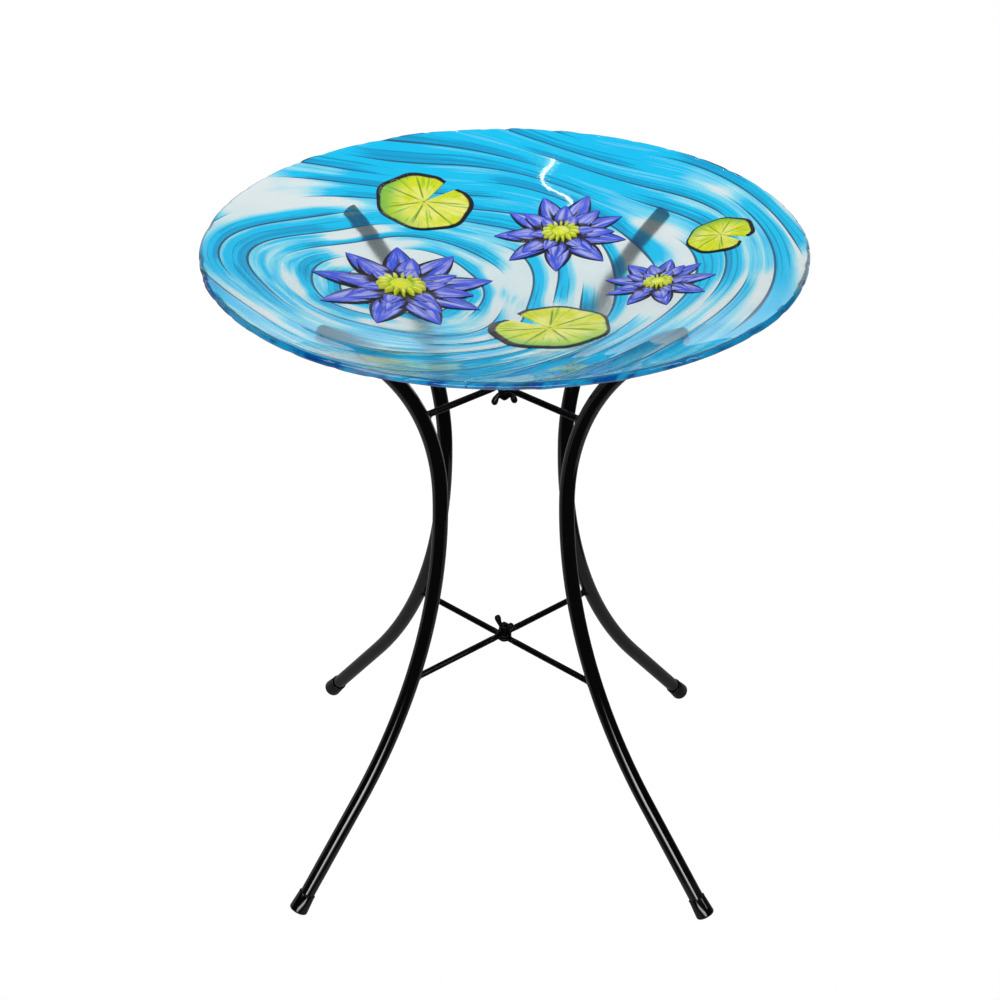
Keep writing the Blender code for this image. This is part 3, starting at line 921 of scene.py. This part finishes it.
def make_bowl(top_glass, under_glass):
    """Relief glass dish: fine upper face, rounded rim and coarser underside."""
    upper = dish_face(GRID_STEPS, -HALF_GLASS, relief)
    lower = dish_face(UNDER_STEPS, HALF_GLASS, under_relief)
    rims = rim_rings(GRID_STEPS)
    points = np.vstack([upper, lower] + rims)
    faces = grid_faces(GRID_STEPS, 0, False) + grid_faces(UNDER_STEPS, len(upper), True)
    count = len(rims[0])
    starts = [len(upper) + len(lower) + i * count for i in range(len(rims))]
    loops = [border(GRID_STEPS)] + [list(range(start, start + count)) for start in starts]
    for pair in zip(loops, loops[1:]):
        faces += strip(*pair)
    under = [len(upper) + i for i in border(UNDER_STEPS)]
    last = loops[-1]
    for k in range(0, count, 2):
        near, far = under[k // 2], under[(k // 2 + 1) % len(under)]
        faces.append((last[k], last[k + 1], near))
        faces.append((last[k + 1], last[(k + 2) % count], far, near))
    shape = (points, faces)
    bowl = piece("relief_glass_bowl", shape, top_glass, "bowl", "painted_glass", "glass_bowl")
    bowl.data.materials.append(under_glass)
    mark_underside(bowl.data)


def mark_underside(mesh):
    """Give the faces that look down the second material."""
    for face in mesh.polygons:
        outward = face.center.x * face.normal.x + face.center.y * face.normal.y
        if face.normal.z < UNDER_SLOPE and outward > UNDER_INWARD:
            face.material_index = 1


# Paint of the water; each brush has the scales of its streaks across and along, and their detail
FROST = (0.67, 0.80, 0.83)
PALE_AQUA = (0.085, 0.66, 0.91)
CYAN = (0.0, 0.41, 0.93)
DEEP_BLUE = (0.0, 0.13, 0.50)
TEAL = (0.0, 0.12, 0.26)
LINE_TEAL = (0.003, 0.065, 0.13)
BROAD_BRUSH = (0.8, 1.5, 1.0)
FINE_BRUSH = (5.0, 1.8, 2.0)
FINE_RANGE = (0.28, 0.72)
POOL_SCALE = 7.5
FAR_SIDE = (0.03, 0.17)
NEAR_SIDE = (-0.06, -0.19)
FILM_RANGE = (0.46, 0.64)
LEAST_SPREAD = 0.25
HAIR_PLACES = (0.25, 0.52)
HAIR_HALF = 0.040
HAIR_BREAKS = (0.40, 0.60)
HAIR_COVER = 0.7
LINE_COVER = 0.95
# Share of blue where each layer starts and where it is full, its cover and its colour
WATER_LAYERS = (
    (0.03, 0.30, 1.0, PALE_AQUA),
    (0.22, 0.58, 1.0, CYAN),
    (0.95, 1.30, 0.7, DEEP_BLUE),
)

# Glass
# rim band colours: the paint's blue, deepened by painted light carried along the glass edge
RIM_GUIDED_LIGHT_AQUA = (0.004, 0.24, 0.50)
RIM_GUIDED_LIGHT_BLUE = (0.0, 0.030, 0.20)
RIM_GUIDED_LIGHT_BAND = (BOWL_RADIUS - 0.0024, BOWL_RADIUS - 0.0008)
RIM_GUIDED_LIGHT_COVER = 0.9
DAB_SCALE = 48.0
CLEAR_GLASS = (0.94, 0.98, 0.97)
AQUA_GLASS = (0.60, 0.91, 0.97)
HAZE_SCALE = 7.0
HAZE_RANGE = (0.44, 0.68)
SEED_SCALE = 60.0
WAVE_TURNS = (75.0, 110.0)
WAVE_HEIGHT = 0.00008
GLASS_IOR = 1.45
TOP_ROUGHNESS = 0.026
TOP_CLEARNESS = 0.82
UNDER_ROUGHNESS = 0.17
UNDER_CLEARNESS = 0.92
PAINT_BODY = 0.5


def streaks(ring, turn, across, along, detail):
    """Noise drawn out along the ripples, like the hairs of a brush."""
    return drawn_noise(detail, ring * across, cosine(turn) * along, sine(turn) * along)


def pond_paint(place, x, y, outside):
    """Colour of the water, its share of blue and its dark lines, seen from outside."""
    ring, turn, part, strength = ripple(x, y)
    broad = streaks(ring, turn, *BROAD_BRUSH)
    fine = ramp(*FINE_RANGE, streaks(ring, turn, *FINE_BRUSH))
    pool = noise(place, POOL_SCALE, 2.0)
    vary = whole(ring) * SILVER
    spread = 0.60 + 0.45 * (vary - whole(vary)) + 0.8 * (broad - 0.5)
    spread = greater(spread, LEAST_SPREAD)
    far = ramp(*FAR_SIDE, y)
    ends = 0.18 * far + 0.12 * ramp(*NEAR_SIDE, y)
    film = ramp(*FILM_RANGE, pool * 0.6 + broad * 0.4 + ends)
    blue = wash(part, strength, spread) * (0.80 + 0.5 * fine)
    blue = blue + film * (0.20 + 0.46 * fine + 0.22 * far)
    layers = [(ramp(low, high, blue) * cover, paint) for low, high, cover, paint in WATER_LAYERS]
    whole_hairs = strength * ramp(*HAIR_BREAKS, broad)
    for share in HAIR_PLACES:
        hair = stroke(part, whole_hairs, LINE_AT + share * spread, HAIR_HALF)
        layers.append((hair * HAIR_COVER, TEAL))
    return painted(FROST, *layers), blue, stroke(part, strength, LINE_AT, LINE_HALF) * outside


def rim_paint_and_guided_light(place, colour, blue, rim_guided_light):
    """Colour under the rim's band, partly the paint's blue and partly painted light carried along
    the glass edge, deep in dabs and where a ripple meets it.
    """
    dabs = blue + 2.4 * (noise(place, DAB_SCALE, 2.0) - 0.5)
    edge = painted(RIM_GUIDED_LIGHT_AQUA, (ramp(0.10, 0.75, dabs), RIM_GUIDED_LIGHT_BLUE))
    return painted(colour, (rim_guided_light * RIM_GUIDED_LIGHT_COVER, edge))


def top_paint(place, water, rim_guided_light):
    """Colour and clearness of the painted upper face."""
    colour, blue, line = water
    colour = painted(rim_paint_and_guided_light(place, colour, blue, rim_guided_light), (line * LINE_COVER, LINE_TEAL))
    return colour, TOP_CLEARNESS - 0.04 * ramp(0.1, 0.6, blue) - PAINT_BODY * greater(line, rim_guided_light)


def under_paint(place, water, rim_guided_light):
    """Colour and clearness of the satin underside, with faint clouds of blue."""
    glass = painted(CLEAR_GLASS, (ramp(*HAZE_RANGE, noise(place, HAZE_SCALE)), AQUA_GLASS))
    return rim_paint_and_guided_light(place, glass, water[1], rim_guided_light), UNDER_CLEARNESS - PAINT_BODY * rim_guided_light


def glass_face(name, face_paint, smooth):
    """Glass with seeds and slow waves, and paint that shows only from outside."""
    material, shader = new_material(name)
    place = own_place(shader)
    x, y = split(place)[:2]
    inside = Field(add_node(shader, "NewGeometry").outputs["Backfacing"])
    outside = 1.0 - inside
    # band on the rim's outer side that takes the painted edge light
    rim_guided_light = ramp(*RIM_GUIDED_LIGHT_BAND, root(x * x + y * y)) * outside
    colour, clear = face_paint(place, pond_paint(place, x, y, outside), rim_guided_light)
    feed(
        shader,
        Base_Color=colour,
        Transmission_Weight=greater(clear, inside),
        Roughness=smooth + noise(place, SEED_SCALE) * 0.015,
        IOR=GLASS_IOR,
    )
    bump(shader, sine(x * WAVE_TURNS[0]) * sine(y * WAVE_TURNS[1]), 1.0, WAVE_HEIGHT)
    return material


# Water lilies, leaves and still water: name, middle, radius and turn
LILIES = (
    ("lily_large", SOURCE, 0.070, 0.3),
    ("lily_middle", (0.044, 0.080), 0.056, 1.1),
    ("lily_small", (0.116, -0.018), 0.042, 2.0),
)
LEAVES = (
    ("leaf_back", (-0.068, 0.122), 0.040, 0.9),
    ("leaf_front", (0.034, -0.086), 0.044, 2.4),
    ("leaf_right", (0.168, 0.042), 0.026, -0.7),
)
STILL_WATER = (("still_water", (0.052, 0.165), 0.055, 0.0),)
MOTIF_SINK = 0.0007

# Count, reach, half width, height and lift of each ring of petals, as shares of the lily's radius
PETAL_RINGS = (
    (9, 1.00, 0.190, 0.013, 0.000),
    (8, 0.76, 0.170, 0.013, 0.006),
    (6, 0.50, 0.135, 0.014, 0.012),
)
PETAL_ROOT = 0.10
PETAL_LIFT = 0.0003
PETAL_STEPS = 18
PETAL_SIDES = 10
PETAL_ENDS = (0.004, 0.996)
PETAL_FULLNESS = 0.85
PETAL_CURVE = 0.9
PETAL_VARIETY = 0.05
PETAL_PHASES = (5.1, 2.3, 7.0)
TONE_VARIETY = 0.3
UNDERCUT = 0.98
CREASE_DEPTH = 0.35
CREASE_HALF = 0.16

# Lily hearts and their stamens, as shares of the lily's radius
HEART_RADIUS = 0.13
HEART_RISE = 0.05
HEART_STEPS = 7
HEART_SIDES = 28
STAMENS = 15
STAMEN_SIZES = (0.27, 0.020, 0.03, 0.06, 0.11)

# Leaves
LEAF_NOTCH = 0.20
LEAF_MIDDLE = 0.04
LEAF_RINGS = 18
LEAF_STEPS = 120
LEAF_WAVE = 0.025
LEAF_TUCK = 0.10
LEAF_TUCK_WIDTH = 0.14
LEAF_HEIGHT = 0.0013
LEAF_EDGE = 0.97
LEAF_FLATNESS = 6
LEAF_VEINS = 7
VEIN_HEIGHT = 0.0004
VEIN_SHARPNESS = 24


def on_glass(points, centre, turn):
    """Flat points, with their height above the glass, laid on the bowl."""
    x = centre[0] + points[:, 0] * cos(turn) - points[:, 1] * sin(turn)
    y = centre[1] + points[:, 0] * sin(turn) + points[:, 1] * cos(turn)
    sphere, _, middle = bowl_sphere()
    radius = sphere - HALF_GLASS
    glass = middle - np.sqrt(radius ** 2 - x ** 2 - y ** 2)
    return columns(x, y, glass + points[:, 2])


def sunk_ring(x, y, height, undercut=1.0):
    """Section of a motif: its upper side, then a flat side sunk in the glass."""
    lower = columns(x, y * undercut, -MOTIF_SINK)
    return np.vstack([columns(x, y, height), lower[::-1]])


def petal(centre, angle, tone, reach, half_width, height, lift, root_at):
    """Domed, creased petal, marked with places along and across it and its tone."""
    across = np.linspace(-1.0, 1.0, PETAL_SIDES + 1)
    both = np.concatenate([across, across[::-1]])
    rings = []
    marks = []
    for along in np.linspace(0.0, 1.0, PETAL_STEPS + 1):
        swell = sin(pi * np.clip(along, *PETAL_ENDS) ** PETAL_FULLNESS)
        x = root_at + (reach - root_at) * along
        y = across * half_width * swell ** PETAL_FULLNESS
        dome = height * np.sqrt(1 - across ** 2 * PETAL_CURVE) * sqrt(swell)
        crease = CREASE_DEPTH * height * np.exp(-(across / CREASE_HALF) ** 2) * swell
        rings.append(sunk_ring(x, y, dome - crease + lift, UNDERCUT))
        marks.append(columns(along, both, tone))
    points, faces = loft(rings)
    return on_glass(points, centre, angle), faces, np.vstack(marks)


def lily_petals(centre, radius, turn):
    """All the petals of a lily, each a little unlike the next."""
    shapes = []
    for number, (count, reach, width, height, lift) in enumerate(PETAL_RINGS):
        for k in range(count):
            vary = sin(np.dot(PETAL_PHASES, (k, number, turn)))
            angle = turn + 2 * pi * (k + 0.5 * number) / count + PETAL_VARIETY * vary
            size = radius * (1 + PETAL_VARIETY * vary)
            heights = (height * radius, lift * radius + PETAL_LIFT)
            sizes = (reach * size, width * size, *heights, PETAL_ROOT * radius)
            shapes.append(petal(centre, angle, number + TONE_VARIETY * vary, *sizes))
    return joined(shapes)


def lily_heart(centre, radius, turn):
    """Domed middle of a lily with a ring of stamens."""
    wide = radius * HEART_RADIUS
    rise = radius * HEART_RISE
    angles = np.linspace(UP, 0.0, HEART_STEPS + 1)
    outline = [(wide * cos(a), rise + rise * sin(a)) for a in angles]
    outline += [(wide, -MOTIF_SINK), (0.0, -MOTIF_SINK)]
    points, faces = lathe(outline, HEART_SIDES)
    shapes = [(on_glass(points, centre, turn), faces, np.zeros((len(points), 3)))]
    sizes = [radius * share for share in STAMEN_SIZES]
    shapes += [petal(centre, turn + angle, 1.0, *sizes) for angle in round_angles(STAMENS)]
    return joined(shapes)


def leaf_shape(centre, radius, turn):
    """Notched leaf with veins and a rolled edge, marked with places out and round."""
    out = np.linspace(LEAF_MIDDLE, 1.0, LEAF_RINGS + 1)
    both = np.concatenate([out, out[::-1]])
    rings = []
    marks = []
    for angle in np.linspace(LEAF_NOTCH, 2 * pi - LEAF_NOTCH, LEAF_STEPS + 1):
        wave = 1 + LEAF_WAVE * sin(LEAF_VEINS * angle + turn)
        from_notch = pi - abs(pi - angle) - LEAF_NOTCH
        tuck = 1 - LEAF_TUCK * exp(-(from_notch / LEAF_TUCK_WIDTH) ** 2)
        reach = radius * out * wave * tuck
        vein = np.cos(angle * LEAF_VEINS) ** VEIN_SHARPNESS * np.sin(pi * out) * VEIN_HEIGHT
        height = LEAF_HEIGHT * np.sqrt(1 - (out * LEAF_EDGE) ** LEAF_FLATNESS) + vein
        rings.append(sunk_ring(reach * cos(angle), reach * sin(angle), height))
        marks.append(columns(both, angle, 0.0))
    points, faces = loft(rings)
    return on_glass(points, centre, turn), faces, np.vstack(marks)


def make_motifs():
    """Lilies and leaves on the bowl."""
    petals = enamel("petal_paint", petal_colour)
    heart = enamel("heart_paint", heart_colour)
    leaf = enamel("leaf_paint", leaf_colour)
    for name, *place in LILIES:
        piece(name + "_petals", lily_petals(*place), petals, "bowl", "painted_glass")
        piece(name + "_heart", lily_heart(*place), heart, "bowl", "painted_glass")
    for name, *place in LEAVES:
        piece(name, leaf_shape(*place), leaf, "bowl", "painted_glass")


# Paint of the motifs
NAVY = (0.012, 0.018, 0.26)
ROYAL_BLUE = (0.026, 0.090, 0.78)
VIOLET = (0.085, 0.11, 0.74)
# pale violet of the petals' painted highlight
PAINTED_HIGHLIGHT_VIOLET = (0.46, 0.51, 0.94)
INK = (0.004, 0.004, 0.008)
LIME = (0.70, 0.78, 0.006)
LEAF_GREEN = (0.08, 0.48, 0.03)
DARK_GREEN = (0.05, 0.22, 0.010)
PALE_YELLOW = (0.90, 0.90, 0.20)
STROKE_COVER = 0.85
STROKE_DETAIL = 4.0
HEART_CLOUDS = 160.0
LEAF_CLOUDS = 45.0
LEAF_SHADE_SIDE = 2.2
GRAIN_SCALE = 240.0
GRAIN_STRENGTH = 0.05
GRAIN_DEPTH = 0.0004


def marks_of(shader):
    """The three marks that a motif's points carry."""
    node = add_node(shader, "Attribute")
    node.attribute_name = "marks"
    return split(node.outputs["Vector"])


def enamel(name, colour_of):
    """Gloss enamel with brush marks, for a motif."""
    material, shader = new_material(name)
    grain = noise(own_place(shader), GRAIN_SCALE)
    feed(shader, Base_Color=colour_of(shader), Roughness=0.10 + 0.08 * grain)
    bump(shader, grain, GRAIN_STRENGTH, GRAIN_DEPTH)
    return material


def petal_colour(shader):
    """Blue to violet petals with pale brush strokes painted as a highlight over their middles, dark
    roots and pen outlines.
    """
    along, across, tone = marks_of(shader)
    side = absolute(across)
    brush = drawn_noise(STROKE_DETAIL, across * 2.6 + tone * 7.0, along * 1.3, tone * 3.0)
    hatch = drawn_noise(STROKE_DETAIL, along * 20.0 + side * 6.0, across * 1.2, tone * 5.0)
    ragged = hatch - 0.5
    painted_highlight_band = ramp(0.12, 0.50, along) * ramp(1.02, 0.70, along)
    # pale brush strokes laid in the band of painted highlight, strongest along the middle of each
    # petal
    pale = ramp(0.46, 0.66, brush + 0.06 * painted_highlight_band - 0.08 * side) * painted_highlight_band
    roots = ramp(0.38, 0.05, along - 0.3 * ragged)
    edges = ramp(0.45, 0.95, side) * ramp(0.46, 0.60, hatch)
    crease = ramp(0.24, 0.12, side + along * 0.16) * ramp(0.80, 0.45, along) * ramp(1.2, 0.4, tone)
    outline = ramp(0.74, 0.82, side + across * 0.05 + 0.10 * ragged)
    throat = ramp(0.44, 0.30, along - 0.12 * side - 0.2 * ragged) * ramp(0.4, 1.2, tone)
    return painted(
        ROYAL_BLUE,
        (ramp(0.35, 0.65, brush + tone * 0.06), VIOLET),
        (pale * STROKE_COVER, PAINTED_HIGHLIGHT_VIOLET),
        (roots * STROKE_COVER, NAVY),
        (edges * STROKE_COVER, NAVY),
        (greater(greater(crease, outline), throat), INK),
    )


def heart_colour(shader):
    """Lime yellow lily heart with darker stamen roots."""
    along, tone = marks_of(shader)[::2]
    pale = ramp(0.35, 0.7, noise(own_place(shader), HEART_CLOUDS))
    roots = ramp(0.5, 0.0, along) * tone * 0.6
    return painted(LIME, (pale, PALE_YELLOW), (roots, LEAF_GREEN))


def leaf_colour(shader):
    """Lime leaf, greener to one side, with fine ribs, dark veins and a pen outline."""
    out, angle = marks_of(shader)[:2]
    cloud = noise(own_place(shader), LEAF_CLOUDS)
    ribs = drawn_noise(STROKE_DETAIL, angle * 9.0, out * 1.1, 0.0)
    shaded = out * (0.62 + 0.38 * cosine(angle - LEAF_SHADE_SIDE)) + 0.7 * (cloud - 0.5)
    ray = absolute(sine(angle * (LEAF_VEINS / 2)))
    vein = ramp(0.10, 0.03, ray * out) * ramp(0.95, 0.60, out) * ramp(0.03, 0.2, out)
    outline = ramp(0.885, 0.925, out + 0.035 * sine(angle + 1.0) + 0.04 * (ribs - 0.5))
    return painted(
        LIME,
        (ramp(0.40, 0.66, cloud), PALE_YELLOW),
        (ramp(0.42, 0.95, shaded) * STROKE_COVER, LEAF_GREEN),
        (ramp(0.52, 0.62, ribs) * ramp(0.12, 0.5, out) * 0.7, LEAF_GREEN),
        (vein * 0.8, DARK_GREEN),
        (outline, INK),
    )


# Stage
FLOOR_CORNERS = ((-6.0, -0.20), (0.45, -0.20), (0.45, 6.0), (-6.0, 6.0))
FLOOR_LEVEL = -0.0002
FLOOR_GREY = (0.30, 0.30, 0.30, 1.0)
FLOOR_ROUGHNESS = 0.9
FLOOR_GLOW = 1.21
FLOOR_GLOW_SHARE = 0.82
AMBIENT = 0.55
SKY_FADE = (0.05, 0.32)
SKY_DARKNESS = 0.72
SCREEN_BACK = (0.35, 0.0)
SCREEN_TOP = (0.90, 0.60)
SCREEN_RIGHT = 0.8
SCREEN_DARKNESS = 0.97

# Lamps: name, place, target, size and power
KEY_LAMP = ("key", (-1.3, -0.9, 2.3), (0, 0, 0.45), (1.2, 1.2), 24.0)
FILL_LAMP = ("fill", (1.6, -0.7, 1.5), (0, 0, 0.35), (0.3, 1.4), 8.0)
STRIP_LAMP = ("strip", (-0.10, 1.90, 2.46), (0, 0, 0.54), (0.0035, 0.60), 0.26)
FRONT_BANDS = 8
FRONT_BOTTOM = 0.10
FRONT_FULL = 0.50
FRONT_TOP = 0.86
FRONT_DISTANCE = 2.40
FRONT_WIDTH = 2.1
FRONT_POWER = 7.4
FRONT_FADE = 1.7


def make_floor():
    """Pale floor that reads as white and keeps a trace of the shadow."""
    mesh = bpy.data.meshes.new("floor")
    mesh.from_pydata([(x, y, FLOOR_LEVEL) for x, y in FLOOR_CORNERS], [], [(0, 1, 2, 3)])
    floor = add_object("floor", mesh)
    material, shader = new_material("floor_white")
    feed(shader, Base_Color=FLOOR_GREY, Roughness=FLOOR_ROUGHNESS, Specular_IOR_Level=0.0)
    glow = add_node(shader, "Emission", Strength=FLOOR_GLOW)
    seen, glossy = seen_rays(shader)
    mix = add_node(shader, "MixShader")
    sources = (seen * (1.0 - glossy) * FLOOR_GLOW_SHARE, shader.outputs[0], glow.outputs[0])
    for socket, source in zip(mix.inputs, sources):
        plug(socket, source)
    feed(material.node_tree.nodes["Material Output"], Surface=mix.outputs[0])
    mesh.materials.append(material)


def seen_rays(shader):
    """1 for rays that show the surroundings, and 1 for those of gloss alone."""
    path = add_node(shader, "LightPath")
    names = ("Is Camera Ray", "Is Glossy Ray", "Is Transmission Ray")
    camera, glossy, through = (Field(path.outputs[name]) for name in names)
    return greater(greater(camera, glossy), through), glossy * (1.0 - through)


def make_world():
    """White horizon, darker overhead; gloss sees a dark screen in front and to the right."""
    world = bpy.data.worlds.new("studio")
    bpy.context.scene.world = world
    world.use_nodes = True
    back = world.node_tree.nodes["Background"]
    east, north, upward = split(add_node(back, "TexCoord").outputs["Generated"])
    seen, glossy = seen_rays(back)
    behind = north - SCREEN_RIGHT * greater(east, 0.0)
    screen = ramp(*SCREEN_BACK, behind) * ramp(*SCREEN_TOP, upward)
    sky = 1.0 - SKY_DARKNESS * ramp(*SKY_FADE, upward)
    shown = sky * (1.0 - SCREEN_DARKNESS * screen * glossy)
    feed(back, Color=(1.0, 1.0, 1.0, 1.0), Strength=AMBIENT + seen * (shown - AMBIENT))


def make_lamp(name, place, target, size, power):
    """Soft rectangular lamp aimed at a point."""
    lamp = bpy.data.lights.new(name, "AREA")
    lamp.shape = "RECTANGLE"
    lamp.size, lamp.size_y = size
    lamp.energy = power
    obj = add_object(name, lamp)
    obj.location = place
    aim = Vector(target) - Vector(place)
    obj.rotation_euler = aim.to_track_quat("-Z", "Y").to_euler()


def make_front_light():
    """Wide low light in front, of level bands that fade towards the floor."""
    step = (FRONT_TOP - FRONT_BOTTOM) / FRONT_BANDS
    for band in range(FRONT_BANDS):
        above = (band + 0.5) * step
        level = min(above / (FRONT_FULL - FRONT_BOTTOM), 1.0) ** FRONT_FADE
        height = FRONT_BOTTOM + above
        place = (0.0, -FRONT_DISTANCE, height)
        size = (FRONT_WIDTH, step)
        make_lamp(f"front_{band + 1}", place, (0, 0, height), size, FRONT_POWER * level)


def make_camera():
    """Camera at the photograph's place, with its yaw, pitch and roll."""
    camera = bpy.data.cameras.new("camera")
    camera.lens = CAMERA_LENS
    camera.sensor_width = SENSOR_WIDTH
    obj = add_object("camera", camera)
    pitch = Matrix.Rotation(UP - CAMERA_PITCH, 4, "X")
    turn = turned_to(-CAMERA_YAW) @ pitch @ turned_to(CAMERA_ROLL)
    obj.matrix_world = Matrix.Translation(CAMERA_PLACE) @ turn
    bpy.context.scene.camera = obj


def main():
    """Dress the part."""
    paint = gloss_black("gloss_black_paint", *LEG_FINISH)
    rod_paint = gloss_black("rod_black_paint", *ROD_FINISH)
    metal = gloss_black("black_metal", *FASTENER_FINISH)
    plastic = gloss_black("black_plastic", *PLASTIC_FINISH)
    for side, place in SIDES.items():
        make_leg(side, *place, paint)
        make_cap(side, *place, plastic)
        make_plug(side, *place, plastic)
    for level in ("upper", "lower"):
        make_rod(level, "a", "frame_a", FRAME_ANGLE, rod_paint)
        make_rod(level, "b", "frame_b", -FRAME_ANGLE, rod_paint)
        make_bolt(level, level == "upper", metal)
        make_washer(level, metal)
        make_wing_nut(level, level == "lower", metal)
    top_glass = glass_face("glass_top", top_paint, TOP_ROUGHNESS)
    under_glass = glass_face("glass_under", under_paint, UNDER_ROUGHNESS)
    make_bowl(top_glass, under_glass)
    make_motifs()
    make_floor()
    make_world()
    make_lamp(*KEY_LAMP)
    make_lamp(*FILL_LAMP)
    make_front_light()
    make_lamp(*STRIP_LAMP)
    make_camera()
    bpy.context.scene.view_settings.view_transform = "Standard"


main()
